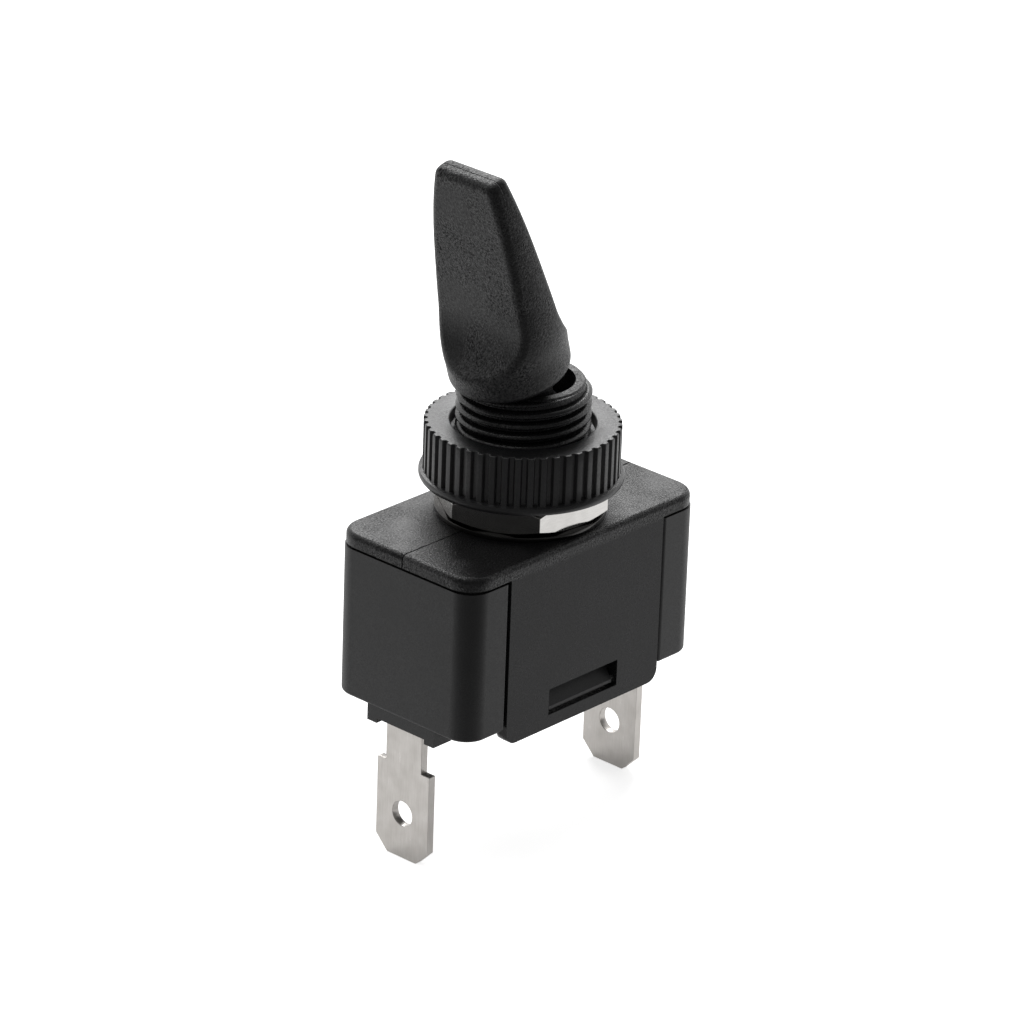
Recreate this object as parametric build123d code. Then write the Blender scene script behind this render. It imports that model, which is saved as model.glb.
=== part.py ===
from build123d import *
import os
from math import cos, sin, tan, radians, sqrt, pi

# Panel toggle switch: a black moulded frame (cap, threaded bushing and two side legs in one)
# snapped over a moulded base that holds two blade terminals and a seesaw contact.
# A paddle lever pivots in the bushing. Millimetres. The origin is on the bushing's axis at
# the cap's top face, +Z runs up the bushing and X lies along the body's long side.

# Cap and housing
body_length = 30.0
body_width = 16.6
cap_thickness = 1.25
cap_corner_radius = 2.6
cap_edge_radius = 0.55
parting_line_width = 0.14
parting_line_depth = 0.07
housing_depth = 15.7
housing_inset = 0.05
housing_corner_radius = 2.2
housing_edge_radius = 0.3
shadow_gap_height = 0.25
shadow_gap_depth = 0.4
end_wall = 2.6
side_wall = 1.4
floor_thickness = 1.8

# Snap legs of the frame, and the latches that they snap over
leg_length = 19.8
leg_thickness = 1.2
leg_depth = 17.25
leg_corner_radius = 1.2
leg_lead_in_width = 0.75
leg_lead_in_height = 0.45
leg_side_gap = 0.2
leg_back_gap = 0.05
recess_edge_radius = 0.3
window_length = 8.95
window_top = 13.5
window_bottom = 16.0
latch_length = 8.2
latch_top = 14.1
latch_reach = 0.95
skirt_height = 1.2
skirt_wall = 1.0
skirt_clearance = 0.1

# Bosses with feet round the terminal slots
boss_length = 2.25
boss_setback = 0.3
boss_width = 8.06
boss_height = 1.2
foot_width = 1.15
foot_height = 0.45
slot_clearance = 0.08

# How far a cut reaches past the face that it opens
cut_over = 1.0

# Bushing, drawn at the root of its fine thread
bushing_height = 12.5
thread_diameter = 12.0
thread_root_diameter = 10.8
bushing_bore = 9.0
bushing_chamfer = 0.15

# Lever, its hub, stem and pivot pin
lever_tilt = 17.0
pivot_height = 7.6
pin_diameter = 1.6
pin_length = 10.6
hub_clearance = 0.2
neck_length = 5.4
neck_clearance = 0.6
stem_diameter = 4.0
stem_length = 12.0
paddle_start = 6.4
paddle_top = 27.29
paddle_width = 11.36
paddle_end_radius = 0.85
paddle_edge_radius = 0.8
tip_thickness = 2.2
root_thickness = 4.56
scoop_height = 13.5
scoop_radius = 5.7
scoop_turn = 66.0

# Side of the lever's turned form from its foot to its tip: shares of height and half width
paddle_side = (
    (0.00, 0.86),
    (0.02, 0.945),
    (0.055, 0.96),
    (0.135, 0.97),
    (0.21, 1.00),
    (0.34, 0.99),
    (0.52, 0.925),
    (0.73, 0.83),
    (1.00, 0.60),
)

# Plunger and spring in the stem
plunger_diameter = 2.4
plunger_length = 7.0
plunger_pilot_diameter = 1.0
plunger_pilot_length = 1.4
plunger_bore_depth = 9.6
spring_wire = 0.28
spring_turns = 8
running_clearance = 0.05

# Seesaw contact
rocker_tilt = 7.0
rocker_axis_depth = 8.2
rocker_width = 5.4
rocker_reach = 7.8
rocker_thickness = 0.8
rocker_dish_share = 1.06
trunnion_diameter = 0.84
trunnion_length = 1.2
contact_offset = 6.4
contact_diameter = 2.8
contact_dome_radius = 5.0
moving_contact_height = 0.9
contact_gap = 0.04

# Fulcrum bracket and its rivet
bracket_length = 3.6
bracket_sheet = 0.7
bracket_side_gap = 0.25
ear_rise = 0.75
rivet_diameter = 2.0
rivet_head_diameter = 3.0
rivet_head_height = 0.4
rivet_clearance = 0.02
rest_post_length = 0.93

# Blade terminals
tab_width = 6.3
tab_thickness = 0.8
tab_centre = 13.7
tab_depth = 29.8
tab_shoulder_depth = 20.8
tab_neck_width = 4.3
tab_chamfer = 1.4
tab_hole_diameter = 2.4
tab_hole_depth = 25.45
bend_radius = 0.5
load_leg_rise = 3.1
load_leg_end = 4.9
common_leg_end = 2.1

# Nuts and lock washer
washer_diameter = 15.3
washer_thickness = 0.45
washer_tooth_count = 12
washer_band = 0.75
washer_tooth_share = 0.6
hex_nut_across_flats = 14.0
hex_nut_height = 2.65
hex_nut_chamfer_angle = 30.0
hex_nut_chamfer_share = 1.04
hex_nut_turn = -5.2
nut_clearance = 0.05
knurled_nut_seat_gap = 0.05
knurled_nut_height = 5.3
knurl_diameter = 17.5
knurl_count = 48
knurl_depth = 0.32
flange_diameter = 18.2
flange_height = 0.7
flange_edge_share = 0.3
nut_mouth_diameter = 13.0
nut_mouth_depth = 0.6

# Places worked out from the sizes above
housing_top = -cap_thickness
housing_bottom = -housing_depth
floor_top = housing_bottom + floor_thickness
recess_half = body_width / 2 - leg_thickness - leg_back_gap
cavity_half_length = body_length / 2 - end_wall
cavity_half_width = recess_half - side_wall
rocker_axis = -rocker_axis_depth
bore_radius = plunger_diameter / 2 + running_clearance
hub_radius = bushing_bore / 2 - hub_clearance
plunger_reach = pivot_height - rocker_axis - rocker_thickness / 2 - running_clearance
nut_bore = thread_root_diameter + 2 * nut_clearance
hex_nut_base = washer_thickness
knurled_nut_base = hex_nut_base + hex_nut_height + knurled_nut_seat_gap
common_leg_top = floor_top + tab_thickness
load_leg_top = common_leg_top + load_leg_rise


def block(x, y, z):
    """Box between two values on each axis."""
    size = (x[1] - x[0], y[1] - y[0], z[1] - z[0])
    centre = ((x[0] + x[1]) / 2, (y[0] + y[1]) / 2, (z[0] + z[1]) / 2)
    return Pos(*centre) * Box(*size)


def upright(radius, low, high):
    """Cylinder on the bushing's axis between two heights."""
    return Pos(0, 0, (low + high) / 2) * Cylinder(radius, high - low)


def cross_pin(radius, length):
    """Cylinder along Y, centred on the origin."""
    return Rot(90, 0, 0) * Cylinder(radius, length)


def slab(length, width, low, high, corner):
    """Upright plate with rounded vertical corners."""
    return Pos(0, 0, low) * extrude(RectangleRounded(length, width, corner), high - low)


def side_plate(outline, half_width):
    """Plate whose outline lies in the XZ plane, centred on Y."""
    return extrude(Plane.XZ * outline, half_width, both=True)


def cap_solid(shrink):
    """The cap's plate, drawn in by a margin on its top and sides."""
    plate = slab(
        body_length - 2 * shrink,
        body_width - 2 * shrink,
        -cap_thickness,
        -shrink,
        cap_corner_radius - shrink,
    )
    rim = plate.faces().sort_by(Axis.Z)[-1].edges()
    return fillet(rim, cap_edge_radius - shrink)


def snap_leg(side):
    """One side leg: a flat tongue with a latch window and a lead-in at its lower edge."""
    outer = side * body_width / 2
    inner = side * (body_width / 2 - leg_thickness)
    half = leg_length / 2
    leg = block((-half, half), sorted((inner, outer)), (-leg_depth, housing_top))
    corners = leg.edges().filter_by(Axis.Y).group_by(Axis.Z)[0]
    leg = fillet(corners, leg_corner_radius)
    lead_in = Plane.YZ * Polyline(
        (inner, -leg_depth),
        (inner + side * leg_lead_in_width, -leg_depth),
        (inner, -leg_depth + leg_lead_in_height),
        close=True,
    )
    leg -= extrude(make_face(lead_in), half + cut_over, both=True)
    window = block(
        (-window_length / 2, window_length / 2),
        sorted((inner - side * cut_over, outer + side * cut_over)),
        (-window_bottom, -window_top),
    )
    return leg - window


def make_switch_frame():
    """Cap, bushing and legs, moulded as one piece."""
    frame = cap_solid(0)
    line = block(
        (-body_length, body_length),
        (-parting_line_width / 2, parting_line_width / 2),
        (-cap_thickness, cap_thickness),
    )
    frame -= line - cap_solid(parting_line_depth)
    bushing = upright(thread_root_diameter / 2, -cap_thickness, bushing_height)
    frame += chamfer(bushing.edges().group_by(Axis.Z)[-1], bushing_chamfer)
    for side in (-1, 1):
        frame += snap_leg(side)
    skirt_length = 2 * (cavity_half_length - skirt_clearance)
    skirt_width = 2 * (cavity_half_width - skirt_clearance)
    skirt = slab(skirt_length, skirt_width, housing_top - skirt_height, housing_top, skirt_wall)
    skirt -= block(
        (skirt_wall - skirt_length / 2, skirt_length / 2 - skirt_wall),
        (skirt_wall - skirt_width / 2, skirt_width / 2 - skirt_wall),
        (housing_top - 2 * skirt_height, housing_top),
    )
    frame += skirt
    frame -= upright(bushing_bore / 2, -2 * cap_thickness, 2 * bushing_height)
    stem_swing = (pivot_height + cap_thickness) * sin(radians(lever_tilt))
    room = stem_diameter / 2 + hub_clearance
    relief_x = (-room - stem_swing, room + stem_swing)
    frame -= block(relief_x, (-room, room), (-2 * cap_thickness, cap_thickness))
    pin_hole = cross_pin(pin_diameter / 2 + running_clearance / 2, 2 * thread_diameter)
    return frame - Pos(0, 0, pivot_height) * pin_hole


def latch(side):
    """Wedge on the base that fills the leg's window and ends in a square ledge."""
    root = side * (recess_half - side_wall / 2)
    face = side * recess_half
    outline = Polyline(
        (root, -latch_top),
        (face, -latch_top),
        (face + side * latch_reach, housing_bottom + housing_edge_radius),
        (face + side * latch_reach, housing_bottom),
        (root, housing_bottom),
        close=True,
    )
    return extrude(Plane.YZ * make_face(outline), latch_length / 2, both=True)


def terminal_boss(end):
    """Block under the floor that guides a terminal, with a foot at each side of the slot."""
    outer = end * (body_length / 2 - housing_inset - boss_setback)
    inner = outer - end * boss_length
    x = sorted((outer, inner))
    half = boss_width / 2
    bottom = housing_bottom - boss_height
    boss = block(x, (-half, half), (bottom, housing_bottom + floor_thickness / 2))
    for side in (-1, 1):
        y = sorted((side * half, side * (half - foot_width)))
        boss += block(x, y, (bottom - foot_height, bottom))
    return boss


def terminal_slot(end, leg_top):
    """Slot through the boss and floor, with room above it for the terminal's bend."""
    half = tab_neck_width / 2 + slot_clearance
    near = tab_centre - tab_thickness / 2 - slot_clearance
    far = tab_centre + tab_thickness / 2 + slot_clearance
    slot = block(sorted((end * near, end * far)), (-half, half), (-leg_depth - cut_over, leg_top))
    pocket_x = sorted((end * (cavity_half_length - cut_over), end * far))
    pocket_low = leg_top - tab_thickness
    slot += block(pocket_x, (-half, half), (pocket_low, leg_top + tab_thickness))
    relief_x = sorted((end * (near - bend_radius), end * near))
    return slot + block(relief_x, (-half, half), (pocket_low - bend_radius, pocket_low))


def make_base_housing():
    """Open-topped box with its latches, terminal bosses, contact pedestal and rest posts."""
    base = slab(
        body_length - 2 * housing_inset,
        body_width - 2 * housing_inset,
        housing_bottom,
        housing_top,
        housing_corner_radius,
    )
    base = fillet(base.faces().sort_by(Axis.Z)[0].edges(), housing_edge_radius)
    inner_rim = slab(
        body_length - 2 * (housing_inset + shadow_gap_depth),
        body_width - 2 * (housing_inset + shadow_gap_depth),
        housing_top - shadow_gap_height,
        housing_top,
        housing_corner_radius - shadow_gap_depth,
    )
    gap = block(
        (-body_length, body_length),
        (-body_width, body_width),
        (housing_top - shadow_gap_height, housing_top + cut_over),
    )
    base -= gap - inner_rim
    recess = leg_length / 2 + leg_side_gap
    for side in (-1, 1):
        y = sorted((side * recess_half, side * body_width))
        recess_depth = (housing_bottom - cut_over, housing_top + cut_over)
        base -= block((-recess, recess), y, recess_depth)
    corners = base.edges().filter_by(Axis.Z).filter_by(
        lambda e: abs(abs(e.center().X) - recess) < 0.01 and e.length > housing_depth / 2
        and abs(e.center().Y) > recess_half + leg_thickness / 2
    )
    base = fillet(corners, recess_edge_radius)
    base -= block(
        (-cavity_half_length, cavity_half_length),
        (-cavity_half_width, cavity_half_width),
        (floor_top, housing_top + cut_over),
    )
    for side in (-1, 1):
        base += latch(side)
    for end in (-1, 1):
        base += terminal_boss(end)
    pedestal_end = load_leg_end + contact_diameter / 4
    base += block(
        (pedestal_end, cavity_half_length),
        (-rocker_width / 2, rocker_width / 2),
        (floor_top, load_leg_top - tab_thickness),
    )
    for side in (-1, 1):
        base += rest_post(side)
    base -= terminal_slot(-1, common_leg_top)
    base -= terminal_slot(1, load_leg_top)
    rivet_room = rivet_head_diameter / 2 + slot_clearance
    return base - upright(rivet_room, floor_top - rivet_head_height - slot_clearance, floor_top)


def rest_post(side):
    """Post beside the common terminal that the seesaw's free arm comes to rest on."""
    arm_height = dish_rise() - rocker_thickness / 2
    tilt = radians(rocker_tilt)
    top = rocker_axis - contact_offset * sin(tilt) + arm_height * cos(tilt)
    inner = tab_neck_width / 2 + 2 * slot_clearance
    outer = rocker_width / 2 + contact_diameter / 4
    half = rest_post_length / 2
    return block(
        (-contact_offset - half, half - contact_offset),
        sorted((side * inner, side * outer)),
        (floor_top, top - half * sin(tilt) - 2 * running_clearance),
    )


def paddle_form():
    """The lever's domed foot and crowned tip as a turned form, before its flats are cut."""
    height = paddle_top - paddle_start
    side = [
        (half_share * paddle_width / 2, paddle_start + height_share * height)
        for height_share, half_share in paddle_side
    ]
    outline = make_face([
        Line((0, paddle_start), side[0]),
        Spline(*side),
        Line(side[-1], (0, paddle_top)),
        Line((0, paddle_top), (0, paddle_start)),
    ])
    end = outline.vertices().sort_by_distance((side[-1][0], paddle_top, 0))[0]
    return revolve(Plane.XZ * fillet(end, paddle_end_radius), Axis.Z)


def paddle_flat(side):
    """What is cut from one face: a flat from the tip, run out through a round scoop."""
    flat = Line((side * tip_thickness / 2, paddle_top), (side * root_thickness / 2, scoop_height))
    scoop = JernArc(flat @ 1, flat % 1, scoop_radius, side * scoop_turn)
    outside = side * paddle_width
    outline = make_face([
        flat,
        scoop,
        Line(scoop @ 1, (outside, (scoop @ 1).Y)),
        Line((outside, (scoop @ 1).Y), (outside, paddle_top)),
        Line((outside, paddle_top), flat @ 0),
    ])
    return side_plate(outline, paddle_width)


def make_lever():
    """Paddle lever: domed foot, two tapering flats with soft edges, hub and stem."""
    lever = paddle_form() - paddle_flat(-1) - paddle_flat(1)
    foot_edge = lever.edges().sort_by(Axis.Z)[0]
    soft = lever.edges().filter_by(lambda e: abs(e.center().X) > paddle_edge_radius / 4)
    lever = fillet(soft - [foot_edge], paddle_edge_radius)
    neck = Ellipse(neck_length / 2, bushing_bore / 2 - neck_clearance)
    lever += extrude(neck, (paddle_start + scoop_height) / 2)
    lever += Sphere(hub_radius)
    lever += upright(stem_diameter / 2, -stem_length, 0)
    lever -= cross_pin(pin_diameter / 2 + running_clearance, 3 * hub_radius)
    return lever - upright(bore_radius, -2 * stem_length, plunger_bore_depth - stem_length)


def make_plunger():
    """Round-nosed pin that slides in the stem, with a pilot for the spring."""
    nose = plunger_diameter / 2
    pin_top = plunger_length - plunger_reach
    pin = upright(nose, nose - plunger_reach, pin_top)
    pin += Pos(0, 0, nose - plunger_reach) * Sphere(nose)
    return pin + upright(plunger_pilot_diameter / 2, pin_top, pin_top + plunger_pilot_length)


def make_spring():
    """Compression spring between the plunger's shoulder and the end of its bore."""
    low = plunger_length - plunger_reach + spring_wire / 2 + running_clearance
    high = plunger_bore_depth - stem_length - spring_wire / 2 - running_clearance
    coil = bore_radius - spring_wire / 2 - running_clearance
    path = Helix((high - low) / spring_turns, high - low, coil)
    wire = Plane(path @ 0, z_dir=path % 0) * Circle(spring_wire / 2)
    return Pos(0, 0, low) * sweep(wire, path=path, is_frenet=True)


def on_lever(shape):
    """Places a piece drawn about the pivot where the tilted lever carries it."""
    return Pos(0, 0, pivot_height) * Rot(0, -lever_tilt, 0) * shape


def dish_point(share):
    """Where the plunger's nose centre lies, in the seesaw's frame, at a share of the throw."""
    nose = plunger_diameter / 2
    swing = radians(lever_tilt * share)
    tilt = radians(rocker_tilt * share)
    arm = plunger_reach - nose
    x = arm * sin(swing)
    z = pivot_height - arm * cos(swing) - rocker_axis
    return x * cos(tilt) - z * sin(tilt), x * sin(tilt) + z * cos(tilt)


def dish_radius():
    """Radius of the seesaw's hollow on its upper side, which the nose runs along."""
    middle = dish_point(0)
    end = dish_point(1)
    rise = end[1] - middle[1]
    path_radius = (end[0] ** 2 + rise ** 2) / (2 * rise)
    return path_radius + plunger_diameter / 2 + running_clearance


def dish_half_length():
    """Half of the hollow's length along the seesaw."""
    return dish_point(1)[0] * rocker_dish_share


def dish_rise():
    """Height of the seesaw's flat arms over its axis, at mid thickness."""
    middle = dish_radius() + rocker_thickness / 2
    return middle - sqrt(middle ** 2 - dish_half_length() ** 2)


def make_rocker():
    """Seesaw strip with a hollow for the plunger, flat arms and a trunnion at each side."""
    half = rocker_thickness / 2
    rise = dish_rise()
    top_radius = dish_radius()
    centre = half + top_radius
    top_x = sqrt(top_radius ** 2 - (centre - rise - half) ** 2)
    low_radius = top_radius + rocker_thickness
    low_x = sqrt(low_radius ** 2 - (centre - rise + half) ** 2)
    outline = [
        ThreePointArc((-top_x, rise + half), (0, half), (top_x, rise + half)),
        Line((top_x, rise + half), (rocker_reach, rise + half)),
        Line((rocker_reach, rise + half), (rocker_reach, rise - half)),
        Line((rocker_reach, rise - half), (low_x, rise - half)),
        ThreePointArc((low_x, rise - half), (0, -half), (-low_x, rise - half)),
        Line((-low_x, rise - half), (-rocker_reach, rise - half)),
        Line((-rocker_reach, rise - half), (-rocker_reach, rise + half)),
        Line((-rocker_reach, rise + half), (-top_x, rise + half)),
    ]
    strip = side_plate(make_face(Wire(outline)), rocker_width / 2)
    return strip + cross_pin(trunnion_diameter / 2, rocker_width + 2 * trunnion_length)


def contact_button(height):
    """Domed contact standing on the plane of its own origin."""
    radius = contact_diameter / 2
    dome = contact_dome_radius
    ball = Pos(0, 0, height - dome) * Sphere(dome)
    return Cylinder(radius, height, align=(Align.CENTER, Align.CENTER, Align.MIN)) & ball


def make_moving_contact():
    """Contact under the seesaw's live arm."""
    return Pos(contact_offset, 0, dish_rise() - rocker_thickness / 2) * Rot(180, 0, 0) * (
        contact_button(moving_contact_height)
    )


def on_rocker(shape):
    """Places a piece drawn about the seesaw's axis where the tilted seesaw carries it."""
    return Pos(0, 0, rocker_axis) * Rot(0, rocker_tilt, 0) * shape


def make_fixed_contact():
    """Contact on the load terminal, under the moving one."""
    tilt = radians(rocker_tilt)
    face = dish_rise() - rocker_thickness / 2 - moving_contact_height
    x = contact_offset * cos(tilt) + face * sin(tilt)
    top = rocker_axis - contact_offset * sin(tilt) + face * cos(tilt) - contact_gap
    return Pos(x, 0, load_leg_top) * contact_button(top - load_leg_top)


def make_bracket():
    """Folded bracket on the common terminal, with two notched ears for the trunnions."""
    half = bracket_length / 2
    inner = rocker_width / 2 + bracket_side_gap
    outer = inner + bracket_sheet
    bottom = common_leg_top
    bracket = block((-half, half), (-outer, outer), (bottom, bottom + bracket_sheet))
    for side in (-1, 1):
        y = sorted((side * inner, side * outer))
        bracket += block((-half, half), y, (bottom, rocker_axis + ear_rise))
    notch = trunnion_diameter / 2 + running_clearance
    bracket -= Pos(0, 0, rocker_axis) * cross_pin(notch, 3 * outer)
    bracket -= block((-notch, notch), (-2 * outer, 2 * outer), (rocker_axis, 0))
    hole = rivet_diameter / 2 + rivet_clearance
    return bracket - upright(hole, bottom - cut_over, bottom + cut_over)


def make_rivet():
    """Rivet that clamps the bracket to the common terminal."""
    low = floor_top - rivet_head_height
    high = common_leg_top + bracket_sheet
    rivet = upright(rivet_diameter / 2, low, high)
    rivet += upright(rivet_head_diameter / 2, low, floor_top)
    return rivet + upright(rivet_head_diameter / 2, high, high + rivet_head_height)


def make_terminal(end, leg_top, leg_end):
    """Blade terminal: a wide tab, a neck through the floor and a leg bent inwards."""
    outer = tab_centre + tab_thickness / 2
    inner = tab_centre - tab_thickness / 2
    low_face = leg_top - tab_thickness
    outline = Polyline(
        (end * outer, -tab_depth),
        (end * outer, leg_top),
        (leg_end, leg_top),
        (leg_end, low_face),
        (end * inner, low_face),
        (end * inner, -tab_depth),
        close=True,
    )
    sketch = make_face(outline)
    elbow = sketch.vertices().filter_by(lambda v: abs(v.X) > inner - 0.01)
    inside = elbow.sort_by_distance((end * inner, low_face, 0))[0]
    outside = elbow.sort_by_distance((end * outer, leg_top, 0))[0]
    sketch = fillet(inside, bend_radius)
    outside = sketch.vertices().sort_by_distance((outside.X, outside.Y, 0))[0]
    sketch = fillet(outside, bend_radius + tab_thickness)
    terminal = side_plate(sketch, tab_neck_width / 2)
    tab = block(
        sorted((end * inner, end * outer)),
        (-tab_width / 2, tab_width / 2),
        (-tab_depth, -tab_shoulder_depth),
    )
    corners = tab.edges().filter_by(Axis.X).group_by(Axis.Z)[0]
    tab = chamfer(corners, tab_chamfer)
    strip_end = block(
        sorted((end * (inner - cut_over), end * (outer + cut_over))),
        (-tab_width, tab_width),
        (-tab_depth - cut_over, -tab_shoulder_depth - cut_over),
    )
    terminal = (terminal - strip_end) + tab
    hole = Rot(0, 90, 0) * Cylinder(tab_hole_diameter / 2, 4 * tab_thickness)
    return terminal - Pos(end * tab_centre, 0, -tab_hole_depth) * hole


def make_common_terminal():
    """Terminal that carries the fulcrum bracket, with a hole for its rivet."""
    terminal = make_terminal(-1, common_leg_top, common_leg_end)
    hole = rivet_diameter / 2 + rivet_clearance
    return terminal - upright(hole, floor_top - cut_over, floor_top + cut_over)


def make_washer():
    """Lock washer with teeth that point inwards."""
    outer = washer_diameter / 2
    bore = thread_diameter / 2 + 2 * nut_clearance
    tooth_root = outer - washer_band
    washer = upright(outer, 0, washer_thickness)
    washer -= upright(bore, -cut_over, cut_over)
    gap_width = 2 * pi * bore / washer_tooth_count * (1 - washer_tooth_share)
    gap = block((0, tooth_root), (-gap_width / 2, gap_width / 2), (-cut_over, cut_over))
    for index in range(washer_tooth_count):
        washer -= Rot(0, 0, 360 / washer_tooth_count * index) * gap
    return washer


def make_hex_nut():
    """Thin hexagon nut, chamfered on both faces."""
    half_flats = hex_nut_across_flats / 2
    corner = half_flats / cos(pi / 6)
    hexagon = Rot(0, 0, hex_nut_turn) * extrude(RegularPolygon(corner, 6), hex_nut_height)
    cut = (corner - half_flats) * hex_nut_chamfer_share
    rise = cut * tan(radians(hex_nut_chamfer_angle))
    barrel = Polyline(
        (0, 0),
        (corner - cut, 0),
        (corner, rise),
        (corner, hex_nut_height - rise),
        (corner - cut, hex_nut_height),
        (0, hex_nut_height),
        close=True,
    )
    nut = hexagon & revolve(Plane.XZ * make_face(barrel), Axis.Z)
    nut -= upright(nut_bore / 2, -cut_over, hex_nut_height + cut_over)
    return Pos(0, 0, hex_nut_base) * nut


def make_knurled_nut():
    """Moulded ring nut with a straight knurl over a plain flange."""
    top = knurled_nut_height
    crest = knurl_diameter / 2
    nut = upright(crest, 0, top)
    flute_width = pi * knurl_diameter / knurl_count / 2
    flute = block(
        (crest - knurl_depth, crest + cut_over),
        (-flute_width / 2, flute_width / 2),
        (flange_height, top + cut_over),
    )
    flutes = [Rot(0, 0, 360 / knurl_count * index) * flute for index in range(knurl_count)]
    nut -= flutes
    flange = upright(flange_diameter / 2, 0, flange_height)
    nut += fillet(flange.edges().filter_by(GeomType.CIRCLE), flange_height * flange_edge_share)
    nut -= upright(nut_bore / 2, -cut_over, top + cut_over)
    mouth = Cone(nut_bore / 2, nut_mouth_diameter / 2, nut_mouth_depth)
    nut -= Pos(0, 0, top - nut_mouth_depth / 2) * mouth
    return Pos(0, 0, knurled_nut_base) * nut


def make_pivot_pin():
    """Pin across the bushing that the lever turns on."""
    return Pos(0, 0, pivot_height) * cross_pin(pin_diameter / 2, pin_length)


pieces = {
    "switch_frame": make_switch_frame(),
    "base_housing": make_base_housing(),
    "lever": on_lever(make_lever()),
    "lever_pivot_pin": make_pivot_pin(),
    "plunger": on_lever(make_plunger()),
    "plunger_spring": on_lever(make_spring()),
    "rocker_contact": on_rocker(make_rocker()),
    "moving_contact_button": on_rocker(make_moving_contact()),
    "fixed_contact_button": make_fixed_contact(),
    "fulcrum_bracket": make_bracket(),
    "fulcrum_rivet": make_rivet(),
    "common_terminal": make_common_terminal(),
    "load_terminal": make_terminal(1, load_leg_top, load_leg_end),
    "lock_washer": make_washer(),
    "hex_nut": make_hex_nut(),
    "knurled_nut": make_knurled_nut(),
}

os.makedirs("parts", exist_ok=True)
for name, shape in pieces.items():
    export_step(shape, "parts/" + name + ".step")
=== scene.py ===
from math import cos, radians, sin

import bmesh
import bpy
from mathutils import Matrix, Vector


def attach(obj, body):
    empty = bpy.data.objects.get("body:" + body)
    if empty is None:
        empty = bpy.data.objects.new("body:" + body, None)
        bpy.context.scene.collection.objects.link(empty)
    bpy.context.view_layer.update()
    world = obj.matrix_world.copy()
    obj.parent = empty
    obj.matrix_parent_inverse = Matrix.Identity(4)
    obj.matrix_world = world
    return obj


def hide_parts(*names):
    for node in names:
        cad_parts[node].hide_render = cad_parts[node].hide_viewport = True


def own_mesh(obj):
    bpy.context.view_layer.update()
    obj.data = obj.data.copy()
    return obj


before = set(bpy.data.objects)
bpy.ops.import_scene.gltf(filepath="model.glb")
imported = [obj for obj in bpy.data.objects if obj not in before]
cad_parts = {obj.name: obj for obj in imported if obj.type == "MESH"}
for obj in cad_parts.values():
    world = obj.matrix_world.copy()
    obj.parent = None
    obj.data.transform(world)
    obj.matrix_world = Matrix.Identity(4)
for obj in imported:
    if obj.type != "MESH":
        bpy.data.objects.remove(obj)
bpy.context.view_layer.update()
mm = 0.001


# The frame is one black glass-filled nylon moulding: cap, bushing and two snap legs.
# The cap's top comes from a spark-eroded mould, so it has a fine grain, and the legs are
# smoother. Its edges are eased by a few hundredths of a millimetre, as a mould leaves them.
def linear(code):
    """Turns an sRGB hex colour into the linear values that a shader takes."""
    channels = [int(code[i:i + 2], 16) / 255 for i in (1, 3, 5)]
    return [c / 12.92 if c <= 0.04045 else ((c + 0.055) / 1.055) ** 2.4 for c in channels] + [1]


def put(tree, kind, inputs=None, **settings):
    """Adds a node to a tree, sets its options, and fills or links its inputs."""
    made = tree.nodes.new(kind)
    for option, value in settings.items():
        setattr(made, option, value)
    for key, value in (inputs or {}).items():
        if isinstance(value, bpy.types.NodeSocket):
            tree.links.new(value, made.inputs[key])
        else:
            made.inputs[key].default_value = value
    return made


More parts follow.
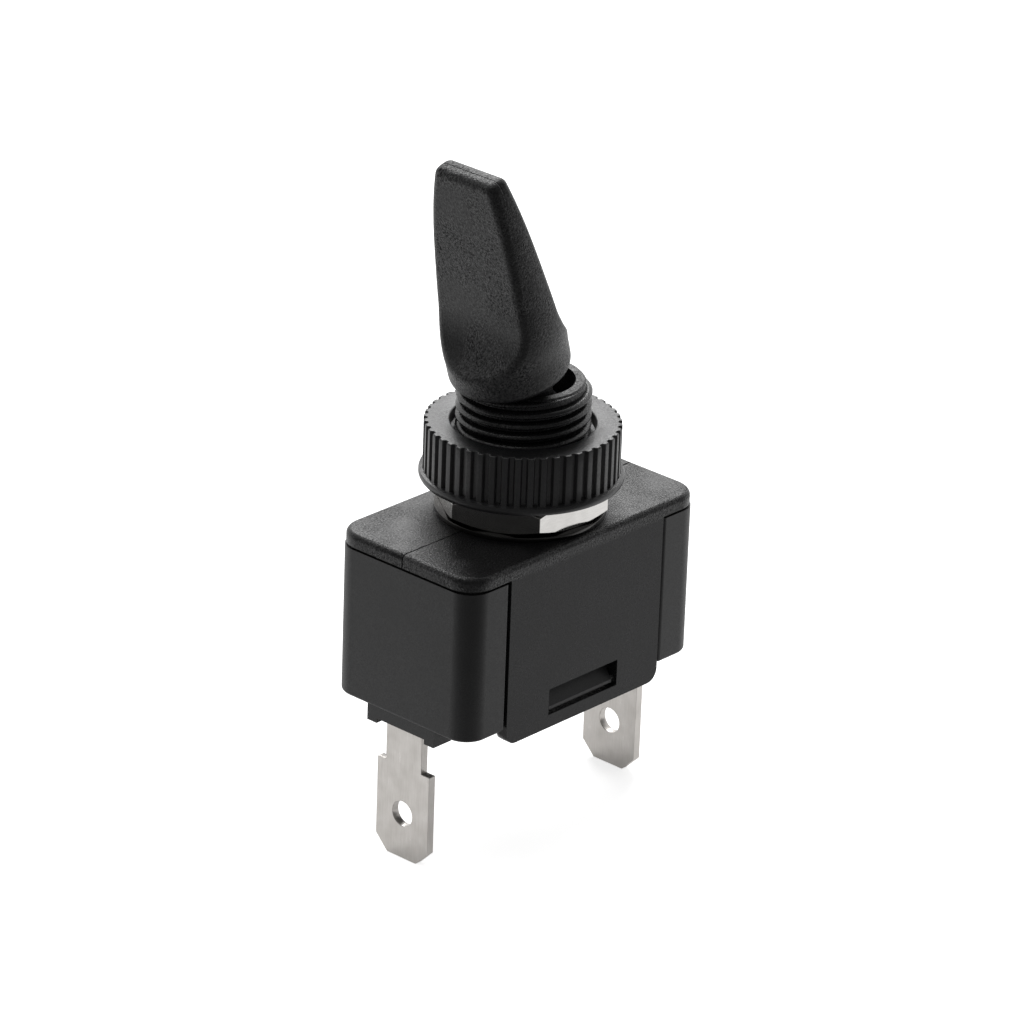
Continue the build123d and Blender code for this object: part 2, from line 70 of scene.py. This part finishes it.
def moulded_nylon(name, shade, worn_shade, roughness, grain_width, grain_depth, ior=1.53,
                  smooth_and_shaded_below=-1.0):
    """Black glass-filled nylon: flow marks a few millimetres wide in its colour and gloss,
    and the grain that the mould's skin leaves, at its real width, with painted shade in its pits.
    Below the height given in the last argument the mould was polished, so little of the grain
    is left there, and its reflection is weakened there as painted shade."""
    flow_width, fade_height, grain_left = 4 * mm, 0.4 * mm, 0.12
    material = bpy.data.materials.new(name)
    material.use_nodes = True
    tree = material.node_tree
    tree.nodes.clear()
    place = put(tree, "ShaderNodeTexCoord").outputs["Object"]
    flow = put(tree, "ShaderNodeTexNoise", {
        "Vector": place, "Scale": 1 / flow_width, "Detail": 3.0, "Roughness": 0.55})
    grain = put(tree, "ShaderNodeTexNoise", {
        "Vector": place, "Scale": 1 / grain_width, "Detail": 3.0, "Roughness": 0.75})
    pits = put(tree, "ShaderNodeTexVoronoi", {"Vector": place, "Scale": 1.3 / grain_width})
    height = put(tree, "ShaderNodeSeparateXYZ", {"Vector": place}).outputs["Z"]
    eroded = put(tree, "ShaderNodeMapRange", {
        "Value": height, "From Min": smooth_and_shaded_below, "From Max": smooth_and_shaded_below + fade_height,
        "To Min": grain_left})
    tone = put(tree, "ShaderNodeMapRange", {
        "Value": flow.outputs["Fac"], "From Min": 0.3, "From Max": 0.7})
    colour = put(tree, "ShaderNodeMix", {
        "Factor": tone.outputs["Result"], 6: linear(shade), 7: linear(worn_shade)},
        data_type="RGBA")
    speck = put(tree, "ShaderNodeMapRange", {
        "Value": grain.outputs["Fac"], "From Min": 0.35, "From Max": 0.65,
        "To Min": roughness + 0.06, "To Max": roughness - 0.06})
    waviness = put(tree, "ShaderNodeBump", {
        "Height": flow.outputs["Fac"], "Distance": 0.03 * mm, "Strength": 0.5})
    skin = put(tree, "ShaderNodeMath", {
        0: pits.outputs["Distance"], 1: 0.5, 2: grain.outputs["Fac"]}, operation="MULTIPLY_ADD")
    patches = put(tree, "ShaderNodeMapRange", {
        "Value": flow.outputs["Fac"], "From Min": 0.38, "From Max": 0.62, "To Min": 0.35})
    relief = put(tree, "ShaderNodeMath", {
        0: patches.outputs["Result"], 1: eroded.outputs["Result"]}, operation="MULTIPLY")
    bump = put(tree, "ShaderNodeBump", {
        "Height": skin.outputs["Value"], "Distance": grain_depth,
        "Strength": relief.outputs["Value"], "Normal": waviness.outputs["Normal"]})
    # The reflection is weakened where the grain noise is low. This is painted shade standing in for
    # the grain's pits, and it gives a fine dark speckle.
    pit_shade = put(tree, "ShaderNodeMapRange", {
        "Value": grain.outputs["Fac"], "From Min": 0.35, "From Max": 0.65,
        "To Min": -0.5, "To Max": 0.5})
    # Below that height the reflection is weakened too: painted shade that darkens the cap's legs
    # and the knurl's sides.
    level = put(tree, "ShaderNodeMapRange", {
        "Value": eroded.outputs["Result"], "From Min": grain_left, "To Min": 0.36, "To Max": 0.5})
    reflection_with_painted_shade = put(tree, "ShaderNodeMath", {
        0: pit_shade.outputs["Result"], 1: relief.outputs["Value"], 2: level.outputs["Result"]},
        operation="MULTIPLY_ADD")
    shader = put(tree, "ShaderNodeBsdfPrincipled", {
        "Base Color": colour.outputs[2], "Roughness": speck.outputs["Result"],
        "Specular IOR Level": reflection_with_painted_shade.outputs["Value"], "IOR": ior,
        "Normal": bump.outputs["Normal"]})
    put(tree, "ShaderNodeOutputMaterial", {"Surface": shader.outputs["BSDF"]})
    return material


def eased(node, name, edge_radius, material):
    """A copy of a CAD node's mesh with whole flat faces and its sharp edges eased."""
    piece = bpy.data.objects.new(name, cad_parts[node].data.copy())
    bpy.context.scene.collection.objects.link(piece)
    mesh = bmesh.new()
    mesh.from_mesh(piece.data)
    bmesh.ops.remove_doubles(mesh, verts=mesh.verts, dist=0.002 * mm)
    bmesh.ops.dissolve_limit(
        mesh, angle_limit=radians(0.5), verts=mesh.verts, edges=mesh.edges)
    mesh.to_mesh(piece.data)
    mesh.free()
    for attribute in [a for a in piece.data.attributes if a.name == "custom_normal"]:
        piece.data.attributes.remove(attribute)
    piece.data.shade_smooth()
    bevel = piece.modifiers.new("eased_edges", "BEVEL")
    bevel.width = edge_radius
    bevel.segments = 2
    bevel.limit_method = "ANGLE"
    bevel.angle_limit = radians(35)
    weighted = piece.modifiers.new("flat_faces_stay_flat", "WEIGHTED_NORMAL")
    weighted.weight = 100
    finished = piece.evaluated_get(bpy.context.evaluated_depsgraph_get())
    piece.data = bpy.data.meshes.new_from_object(finished)
    piece.modifiers.clear()
    piece.data.materials.clear()
    piece.data.materials.append(material)
    return piece


# Fine spark grain makes the lit cap sparkle. Its legs look smooth beside it, and dull from
# painted shade, because their reflection is weakened below leg_top.
leg_top = -1.5 * mm
cap_skin = moulded_nylon(
    "moulded_nylon_spark_grain", "#0e0e0f", "#141415", 0.31, 0.18 * mm, 0.06 * mm, 1.42, leg_top)
switch_frame = eased("switch_frame", "moulded_frame", 0.06 * mm, cap_skin)
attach(switch_frame, "body")
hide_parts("switch_frame")


# The bushing's thread is moulded on it: one ridge with a 1 mm pitch that winds up the bushing
# and dies out at its ends. The solid bushing is drawn at the thread's root.
def size_inputs(name, sizes):
    """Starts a Geometry Nodes tree that has one named input for each size."""
    tree = bpy.data.node_groups.new(name, "GeometryNodeTree")
    tree.interface.new_socket("Geometry", in_out="INPUT", socket_type="NodeSocketGeometry")
    tree.interface.new_socket("Geometry", in_out="OUTPUT", socket_type="NodeSocketGeometry")
    for size, value in sizes.items():
        kind = "NodeSocketInt" if isinstance(value, int) else "NodeSocketFloat"
        tree.interface.new_socket(size, in_out="INPUT", socket_type=kind)
    return tree, put(tree, "NodeGroupInput").outputs


def grown(name, tree, sizes, mesh=None):
    """Runs a tree with its sizes set, and keeps the plain mesh that it makes."""
    piece = bpy.data.objects.new(name, mesh or bpy.data.meshes.new(name))
    bpy.context.scene.collection.objects.link(piece)
    modifier = piece.modifiers.new(name, "NODES")
    modifier.node_group = tree
    for socket in tree.interface.items_tree:
        if socket.in_out == "INPUT" and socket.name in sizes:
            modifier[socket.identifier] = sizes[socket.name]
    finished = piece.evaluated_get(bpy.context.evaluated_depsgraph_get())
    piece.data = bpy.data.meshes.new_from_object(finished)
    piece.modifiers.clear()
    return piece


# The glossier skin gives each turn of the thread a thin highlight along its crest.
thread_skin = moulded_nylon(
    "moulded_nylon_thread_gloss", "#0d0d0e", "#131314", 0.26, 0.15 * mm, 0.03 * mm)
thread_pitch = 1.0 * mm
thread_start = 3.5 * mm
thread_end = 12.3 * mm
thread_sizes = {
    "Turns": (thread_end - thread_start) / thread_pitch,
    "Rise": thread_end - thread_start,
    "Start Height": thread_start,
    "Root Radius": 5.4 * mm,
    "Crest Height": 0.6 * mm,
    "Root Width": 0.92 * mm,
    "Crest Width": 0.16 * mm,
    "Run Out": 0.03,
}
tree, size = size_inputs("wound_thread_ridge", thread_sizes)
helix = put(tree, "GeometryNodeCurveSpiral", {
    "Resolution": 96, "Rotations": size["Turns"], "Start Radius": size["Root Radius"],
    "End Radius": size["Root Radius"], "Height": size["Rise"], "Reverse": True})
share = put(tree, "GeometryNodeSplineParameter").outputs["Factor"]
from_end = put(tree, "ShaderNodeMath", {0: 1.0, 1: share}, operation="SUBTRACT")
nearer = put(tree, "ShaderNodeMath", {0: share, 1: from_end.outputs[0]}, operation="MINIMUM")
fade = put(tree, "ShaderNodeMapRange", {
    "Value": nearer.outputs[0], "From Max": size["Run Out"], "To Min": 0.05})
upright = put(tree, "GeometryNodeSetCurveNormal", {
    "Curve": helix.outputs["Curve"]}, mode="Z_UP")
ridge_profile = put(tree, "GeometryNodeCurvePrimitiveQuadrilateral", {
    "Height": size["Crest Height"], "Bottom Width": size["Root Width"],
    "Top Width": size["Crest Width"], "Offset": 0.0}, mode="TRAPEZOID")
half_height = put(tree, "ShaderNodeMath", {0: size["Crest Height"], 1: 0.5}, operation="MULTIPLY")
outwards = put(tree, "ShaderNodeCombineXYZ", {"X": half_height.outputs["Value"]})
facing_out = put(tree, "GeometryNodeTransform", {
    "Geometry": ridge_profile.outputs["Curve"], "Translation": outwards.outputs["Vector"],
    "Rotation": (0, 0, radians(-90))})
ridge = put(tree, "GeometryNodeCurveToMesh", {
    "Curve": upright.outputs["Curve"], "Profile Curve": facing_out.outputs["Geometry"],
    "Scale": fade.outputs["Result"], "Fill Caps": True})
lift = put(tree, "ShaderNodeCombineXYZ", {"Z": size["Start Height"]})
raised = put(tree, "GeometryNodeTransform", {
    "Geometry": ridge.outputs["Mesh"], "Translation": lift.outputs["Vector"]})
plain = put(tree, "GeometryNodeRealizeInstances", {"Geometry": raised.outputs["Geometry"]})
dressed = put(tree, "GeometryNodeSetMaterial", {
    "Geometry": plain.outputs["Geometry"], "Material": thread_skin})
put(tree, "NodeGroupOutput", {"Geometry": dressed.outputs["Geometry"]})
thread = grown("bushing_thread", tree, thread_sizes)
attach(thread, "body")


# The base is a satin black nylon box that the frame snaps over. Its walls came off a polished
# mould up to any height that it reaches, so they show soft reflections, faint flow marks and
# no grain.
polished_below = 1.0
base_skin = moulded_nylon(
    "moulded_nylon_satin", "#121213", "#161617", 0.42, 0.12 * mm, 0.003 * mm, 1.6, polished_below)
base = eased("base_housing", "moulded_base", 0.05 * mm, base_skin)
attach(base, "body")
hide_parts("base_housing")


# The lever is a moulded nylon paddle with a coarser grain than the cap, so that a finger
# doesn't slip on it. The grain, with painted shade in its pits, gives its faces a patchy speckle.
lever_skin = moulded_nylon(
    "moulded_nylon_coarse_grain", "#0f0f10", "#151516", 0.38, 0.2 * mm, 0.07 * mm, 1.45)
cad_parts["lever"].data.materials[0] = lever_skin

# A thin parting line crosses the lever's tip, where the halves of its mould met. It lies on
# the lever's middle plane, which leans about the pivot.
lean = radians(17)
pivot_height = 7.6 * mm
line_end, line_fade = 32.6 * mm, 0.4 * mm
line_half_width, line_edge, line_depth = 0.03 * mm, 0.1 * mm, 0.1 * mm
tree = lever_skin.node_tree
shader = tree.nodes["Principled BSDF"]
place = put(tree, "ShaderNodeTexCoord").outputs["Object"]
across = put(tree, "ShaderNodeVectorMath", {
    0: place, 1: (cos(lean), 0, sin(lean))}, operation="DOT_PRODUCT")
offset = put(tree, "ShaderNodeMath", {
    0: across.outputs["Value"], 1: pivot_height * sin(lean)}, operation="SUBTRACT")
distance = put(tree, "ShaderNodeMath", {0: offset.outputs[0]}, operation="ABSOLUTE")
groove = put(tree, "ShaderNodeMapRange", {
    "Value": distance.outputs[0], "From Min": line_half_width, "From Max": line_edge})
height = put(tree, "ShaderNodeSeparateXYZ", {"Vector": place}).outputs["Z"]
tip = put(tree, "ShaderNodeMapRange", {
    "Value": height, "From Min": line_end, "From Max": line_end + line_fade})
seam = put(tree, "ShaderNodeBump", {
    "Height": groove.outputs["Result"], "Distance": line_depth, "Strength": tip.outputs["Result"],
    "Normal": shader.inputs["Normal"].links[0].from_socket})
tree.links.new(seam.outputs["Normal"], shader.inputs["Normal"])


# The lock washer, the hexagon nut and the blade terminals are stamped or turned metal.
def plated_metal(name, shade, worn_shade, roughness, mark_width, mark_depth, along):
    """Plated or bare worked metal: fine marks that run along one axis (0, 1 or 2), and a slow
    change of colour and gloss where the bath left it thinner."""
    mark_stretch, cloud_width = 0.04, 1.6 * mm
    material = bpy.data.materials.new(name)
    material.use_nodes = True
    tree = material.node_tree
    tree.nodes.clear()
    place = put(tree, "ShaderNodeTexCoord").outputs["Object"]
    stretch = [1.0 if axis != along else mark_stretch for axis in range(3)]
    drawn = put(tree, "ShaderNodeMapping", {"Vector": place, "Scale": stretch})
    marks = put(tree, "ShaderNodeTexNoise", {
        "Vector": drawn.outputs["Vector"], "Scale": 1 / mark_width, "Detail": 3.0,
        "Roughness": 0.6})
    cloud = put(tree, "ShaderNodeTexNoise", {
        "Vector": place, "Scale": 1 / cloud_width, "Detail": 2.0})
    blend = put(tree, "ShaderNodeMath", {
        0: marks.outputs["Fac"], 1: cloud.outputs["Fac"]}, operation="ADD")
    tone = put(tree, "ShaderNodeMapRange", {
        "Value": blend.outputs["Value"], "From Min": 0.7, "From Max": 1.3})
    colour = put(tree, "ShaderNodeMix", {
        "Factor": tone.outputs["Result"], 6: linear(shade), 7: linear(worn_shade)},
        data_type="RGBA")
    gloss = put(tree, "ShaderNodeMapRange", {
        "Value": blend.outputs["Value"], "From Min": 0.7, "From Max": 1.3,
        "To Min": roughness * 0.8, "To Max": roughness * 1.2})
    bump = put(tree, "ShaderNodeBump", {
        "Height": marks.outputs["Fac"], "Distance": mark_depth})
    shader = put(tree, "ShaderNodeBsdfPrincipled", {
        "Base Color": colour.outputs[2], "Metallic": 1.0,
        "Roughness": gloss.outputs["Result"], "Normal": bump.outputs["Normal"]})
    put(tree, "ShaderNodeOutputMaterial", {"Surface": shader.outputs["BSDF"]})
    return material


# Dark and glossy, the washer shows only as a thin bright arc on its rim.
washer_metal = plated_metal(
    "blackened_spring_steel_stamped", "#555453", "#474645", 0.22, 0.1 * mm, 0.001 * mm, 2)
washer = eased("lock_washer", "lock_washer_stamped", 0.04 * mm, washer_metal)
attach(washer, "body")
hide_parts("lock_washer")

# Nearly a mirror: one facet shows the white room, the next ones the dim side of it.
hex_metal = plated_metal(
    "nickel_plated_steel_turned", "#e6e4e1", "#d6d4d1", 0.13, 0.08 * mm, 0.001 * mm, 0)
hex_nut = eased("hex_nut", "hexagon_nut", 0.07 * mm, hex_metal)
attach(hex_nut, "hex_nut")
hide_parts("hex_nut")

# Brush marks down the blades soften the reflection to an even pale silver.
tab_metal = plated_metal(
    "tin_plated_brass_brushed", "#d4d0cc", "#c6c2bd", 0.34, 0.07 * mm, 0.002 * mm, 2)
for node in ("common_terminal", "load_terminal"):
    tab = eased(node, node + "_blade", 0.05 * mm, tab_metal)
    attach(tab, "body")
    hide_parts(node)


# The knurled nut is a black nylon ring with a plain flange below and a straight knurl above
# it, which cuts into its top face.
# Its lit top face is grained and pale. The sides of the knurl are smooth and dark, partly
# from painted shade, because their reflection is weakened below knurl_top.
knurl_top = 8.3 * mm
nut_skin = moulded_nylon(
    "moulded_nylon_nut_satin", "#121213", "#19191a", 0.34, 0.17 * mm, 0.08 * mm, 1.75, knurl_top)
ring_section = [
    (5.45, 3.15), (8.85, 3.15), (9.02, 3.2), (9.1, 3.36), (9.1, 3.64), (9.02, 3.8),
    (8.85, 3.85), (8.78, 3.87), (8.75, 3.93), (8.75, 5.0), (8.75, 6.2), (8.75, 7.4),
    (8.75, 8.3), (8.73, 8.38), (8.68, 8.43), (8.6, 8.45), (8.45, 8.45), (8.3, 8.45),
    (8.2, 8.45), (6.62, 8.45), (6.52, 8.42), (6.46, 8.34), (6.38, 7.5), (5.5, 7.3),
    (5.45, 7.25),
]
section_mesh = bpy.data.meshes.new("ring_section")
section_mesh.from_pydata(
    [(radius * mm, -height * mm, 0) for radius, height in reversed(ring_section)],
    [(i, (i + 1) % len(ring_section)) for i in range(len(ring_section))], [])
ridge_count, columns_a_ridge = 48, 16
knurl_sizes = {
    "Ridge Count": ridge_count,
    "First Flute": radians(-1.15),
    "Columns": ridge_count * columns_a_ridge,
    "Flute Depth": 0.32 * mm,
    "Flute Start": 3.88 * mm,
    "Plain Radius": 8.3 * mm,
    "Crest Radius": 8.75 * mm,
    "Path Radius": 0.001 * mm,
}
tree, size = size_inputs("straight_knurl_ring", knurl_sizes)
section = put(tree, "GeometryNodeMeshToCurve", {"Mesh": size["Geometry"]})
path = put(tree, "GeometryNodeCurvePrimitiveCircle", {
    "Resolution": size["Columns"], "Radius": size["Path Radius"]})
level = put(tree, "GeometryNodeSetCurveNormal", {"Curve": path.outputs["Curve"]}, mode="Z_UP")
ring = put(tree, "GeometryNodeCurveToMesh", {
    "Curve": level.outputs["Curve"], "Profile Curve": section.outputs["Curve"]})
place = put(tree, "GeometryNodeInputPosition")
split = put(tree, "ShaderNodeSeparateXYZ", {"Vector": place.outputs["Position"]})
angle = put(tree, "ShaderNodeMath", {
    0: split.outputs["Y"], 1: split.outputs["X"]}, operation="ARCTAN2")
from_first = put(tree, "ShaderNodeMath", {
    0: angle.outputs[0], 1: size["First Flute"]}, operation="SUBTRACT")
turned = put(tree, "ShaderNodeMath", {
    0: from_first.outputs[0], 1: size["Ridge Count"]}, operation="MULTIPLY")
wave = put(tree, "ShaderNodeMath", {0: turned.outputs[0]}, operation="COSINE")
flank = put(tree, "ShaderNodeMapRange", {
    "Value": wave.outputs[0], "From Min": -0.25, "From Max": 0.5}, interpolation_type="SMOOTHSTEP")
outward = put(tree, "ShaderNodeCombineXYZ", {"X": split.outputs["X"], "Y": split.outputs["Y"]})
radius = put(tree, "ShaderNodeVectorMath", {0: outward.outputs["Vector"]}, operation="LENGTH")
beyond = put(tree, "ShaderNodeMapRange", {
    "Value": radius.outputs["Value"], "From Min": size["Plain Radius"],
    "From Max": size["Crest Radius"]})
above = put(tree, "ShaderNodeMath", {
    0: split.outputs["Z"], 1: size["Flute Start"]}, operation="GREATER_THAN")
cut = put(tree, "ShaderNodeMath", {
    0: beyond.outputs["Result"], 1: above.outputs[0]}, operation="MULTIPLY")
depth = put(tree, "ShaderNodeMath", {
    0: flank.outputs["Result"], 1: size["Flute Depth"]}, operation="MULTIPLY")
inward = put(tree, "ShaderNodeMath", {0: depth.outputs[0], 1: -1.0}, operation="MULTIPLY")
masked = put(tree, "ShaderNodeMath", {
    0: inward.outputs[0], 1: cut.outputs[0]}, operation="MULTIPLY")
direction = put(tree, "ShaderNodeVectorMath", {0: outward.outputs["Vector"]}, operation="NORMALIZE")
shift = put(tree, "ShaderNodeVectorMath", {
    0: direction.outputs["Vector"], "Scale": masked.outputs[0]}, operation="SCALE")
fluted = put(tree, "GeometryNodeSetPosition", {
    "Geometry": ring.outputs["Mesh"], "Offset": shift.outputs["Vector"]})
plain = put(tree, "GeometryNodeRealizeInstances", {"Geometry": fluted.outputs["Geometry"]})
dressed = put(tree, "GeometryNodeSetMaterial", {
    "Geometry": plain.outputs["Geometry"], "Material": nut_skin})
put(tree, "NodeGroupOutput", {"Geometry": dressed.outputs["Geometry"]})
knurled_nut = grown("knurled_ring_nut", tree, knurl_sizes, section_mesh)
knurled_nut.data.set_sharp_from_angle(angle=radians(40))
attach(knurled_nut, "knurled_nut")
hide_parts("knurled_nut")


# Inside the housing are stamped and turned brass parts, headed silver contacts and a steel
# pin, hidden while the switch is whole. Their tool marks give each a plain bare-metal look.
bare_brass = plated_metal(
    "bare_brass_stamped", "#c2a15a", "#a98845", 0.3, 0.09 * mm, 0.002 * mm, 0)
silver = plated_metal(
    "contact_silver_headed", "#d9d7d2", "#c4c2bd", 0.25, 0.1 * mm, 0.001 * mm, 1)
steel = plated_metal(
    "drawn_steel_wire", "#b4b2ae", "#9d9b97", 0.28, 0.05 * mm, 0.001 * mm, 2)
for node, metal in {
    "rocker_contact": bare_brass, "fulcrum_bracket": bare_brass, "fulcrum_rivet": bare_brass,
    "plunger": bare_brass, "moving_contact_button": silver, "fixed_contact_button": silver,
    "lever_pivot_pin": steel,
}.items():
    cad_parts[node].data.materials[0] = metal


# The plunger's spring is coiled steel wire between the end of the lever's bore and the
# plunger's shoulder. It moves with the lever and keeps its own copy of the mesh.
spring = eased("plunger_spring", "plunger_coil_spring", 0.02 * mm, steel)
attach(spring, "lever")
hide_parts("plunger_spring")
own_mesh(spring)


# The stage is a white table in a white room with two soft boxes. Only the side that the
# photographer stands on is dim, and only reflections show it.
table_height, table_width = -29.82 * mm, 3.0
photographer_side = (-0.68, -0.733, 0.0)
bpy.ops.mesh.primitive_plane_add(size=table_width, location=(0, 0, table_height))
table = bpy.context.object
table.name = "white_table"

# The table glows for the camera and through clear parts, so it looks pure white there, and
# keeps the switch's shadow. Reflections see it white behind and dark in front of the switch,
# so that metal and glass show that background too.
table_glow, mirrored_glow = 0.66, 0.3
table_paint = bpy.data.materials.new("matt_white_table")
table_paint.use_nodes = True
tree = table_paint.node_tree
tree.nodes.clear()
ray = put(tree, "ShaderNodeLightPath").outputs
table_place = put(tree, "ShaderNodeTexCoord").outputs["Object"]
towards = put(tree, "ShaderNodeVectorMath", {
    0: table_place, 1: photographer_side}, operation="DOT_PRODUCT")
dimming = put(tree, "ShaderNodeMapRange", {
    "Value": towards.outputs["Value"], "From Min": 16 * mm, "From Max": 50 * mm,
    "To Min": 0.2, "To Max": 0.86}, interpolation_type="SMOOTHSTEP")
hidden = put(tree, "ShaderNodeMath", {
    0: ray["Is Glossy Ray"], 1: dimming.outputs["Result"]}, operation="MULTIPLY")
seen = put(tree, "ShaderNodeMath", {
    0: ray["Is Camera Ray"], 1: ray["Is Transmission Ray"]}, operation="MAXIMUM")
mirrored = put(tree, "ShaderNodeMath", {
    0: ray["Is Glossy Ray"], 1: mirrored_glow}, operation="MULTIPLY")
glow = put(tree, "ShaderNodeMath", {
    0: seen.outputs[0], 1: table_glow, 2: mirrored.outputs[0]}, operation="MULTIPLY_ADD")
matt = put(tree, "ShaderNodeBsdfPrincipled", {
    "Base Color": linear("#f4f4f4"), "Roughness": 0.9, "Emission Color": (1, 1, 1, 1),
    "Emission Strength": glow.outputs[0]})
unlit = put(tree, "ShaderNodeEmission", {"Color": (0, 0, 0, 1), "Strength": 0.0})
paint = put(tree, "ShaderNodeMixShader", {
    0: hidden.outputs[0], 1: matt.outputs["BSDF"], 2: unlit.outputs["Emission"]})
put(tree, "ShaderNodeOutputMaterial", {"Surface": paint.outputs["Shader"]})
table.data.materials.append(table_paint)

# The room is white for the camera, through clear parts and in reflections of its far side.
# It lights matt surfaces at a plain level.
room_light, dimmest = 0.5, 0.1
room = bpy.data.worlds.new("white_room")
room.use_nodes = True
bpy.context.scene.world = room
tree = room.node_tree
tree.nodes.clear()
ray = put(tree, "ShaderNodeLightPath").outputs
sky = put(tree, "ShaderNodeTexCoord").outputs["Generated"]
towards = put(tree, "ShaderNodeVectorMath", {
    0: sky, 1: photographer_side}, operation="DOT_PRODUCT")
dimmed = put(tree, "ShaderNodeMapRange", {
    "Value": towards.outputs["Value"], "From Min": -0.6, "From Max": 0.25,
    "To Min": 1.0, "To Max": dimmest}, interpolation_type="SMOOTHSTEP")
unseen = put(tree, "ShaderNodeMapRange", {
    "Value": ray["Is Glossy Ray"], "To Min": room_light, "To Max": dimmed.outputs["Result"]})
seen = put(tree, "ShaderNodeMath", {
    0: ray["Is Camera Ray"], 1: ray["Is Transmission Ray"]}, operation="MAXIMUM")
strength = put(tree, "ShaderNodeMapRange", {
    "Value": seen.outputs[0], "To Min": unseen.outputs["Result"]})
light = put(tree, "ShaderNodeBackground", {
    "Color": (1, 1, 1, 1), "Strength": strength.outputs["Result"]})
put(tree, "ShaderNodeOutputWorld", {"Surface": light.outputs["Background"]})


def soft_box(name, azimuth, elevation, distance, width, watts):
    """A square lamp that faces the switch from an angle round it and a height, in degrees."""
    lamp = bpy.data.lights.new(name, "AREA")
    lamp.size = width
    lamp.energy = watts
    box = bpy.data.objects.new(name, lamp)
    bpy.context.scene.collection.objects.link(box)
    a, e = radians(azimuth), radians(elevation)
    back = Vector((sin(a) * cos(e), -cos(a) * cos(e), sin(e)))
    box.location = back * distance
    box.rotation_mode = "QUATERNION"
    box.rotation_quaternion = back.to_track_quat("Z", "Y")


soft_box("back_soft_box", 136, 45, 0.7, 0.42, 2.9)
soft_box("top_soft_box", -110, 70, 0.7, 0.4, 0.6)


# The camera stands in front and to the left of the switch, a little above it, with a long lens.
camera_azimuth, camera_elevation, camera_roll = radians(-47.923), radians(24.112), radians(2.072)
camera_distance, camera_right, camera_up = 530.349 * mm, -0.878 * mm, -0.25 * mm
picture_side, focal_pixels = 1020, 6000
back = Vector((
    sin(camera_azimuth) * cos(camera_elevation), -cos(camera_azimuth) * cos(camera_elevation),
    sin(camera_elevation)))
level_right = (-back).cross(Vector((0, 0, 1))).normalized()
level_up = level_right.cross(-back)
right = cos(camera_roll) * level_right + sin(camera_roll) * level_up
up = -sin(camera_roll) * level_right + cos(camera_roll) * level_up
eye = back * camera_distance + right * camera_right + up * camera_up
view = bpy.data.cameras.new("view_of_switch")
view.sensor_width = 36.0
view.lens = view.sensor_width * focal_pixels / picture_side
view.clip_start, view.clip_end = 0.01, 10.0
camera = bpy.data.objects.new("view_of_switch", view)
bpy.context.scene.collection.objects.link(camera)
camera.matrix_world = Matrix(
    [[right[i], up[i], back[i], eye[i]] for i in range(3)] + [[0, 0, 0, 1]])
bpy.context.scene.camera = camera
bpy.context.scene.view_settings.view_transform = "Standard"
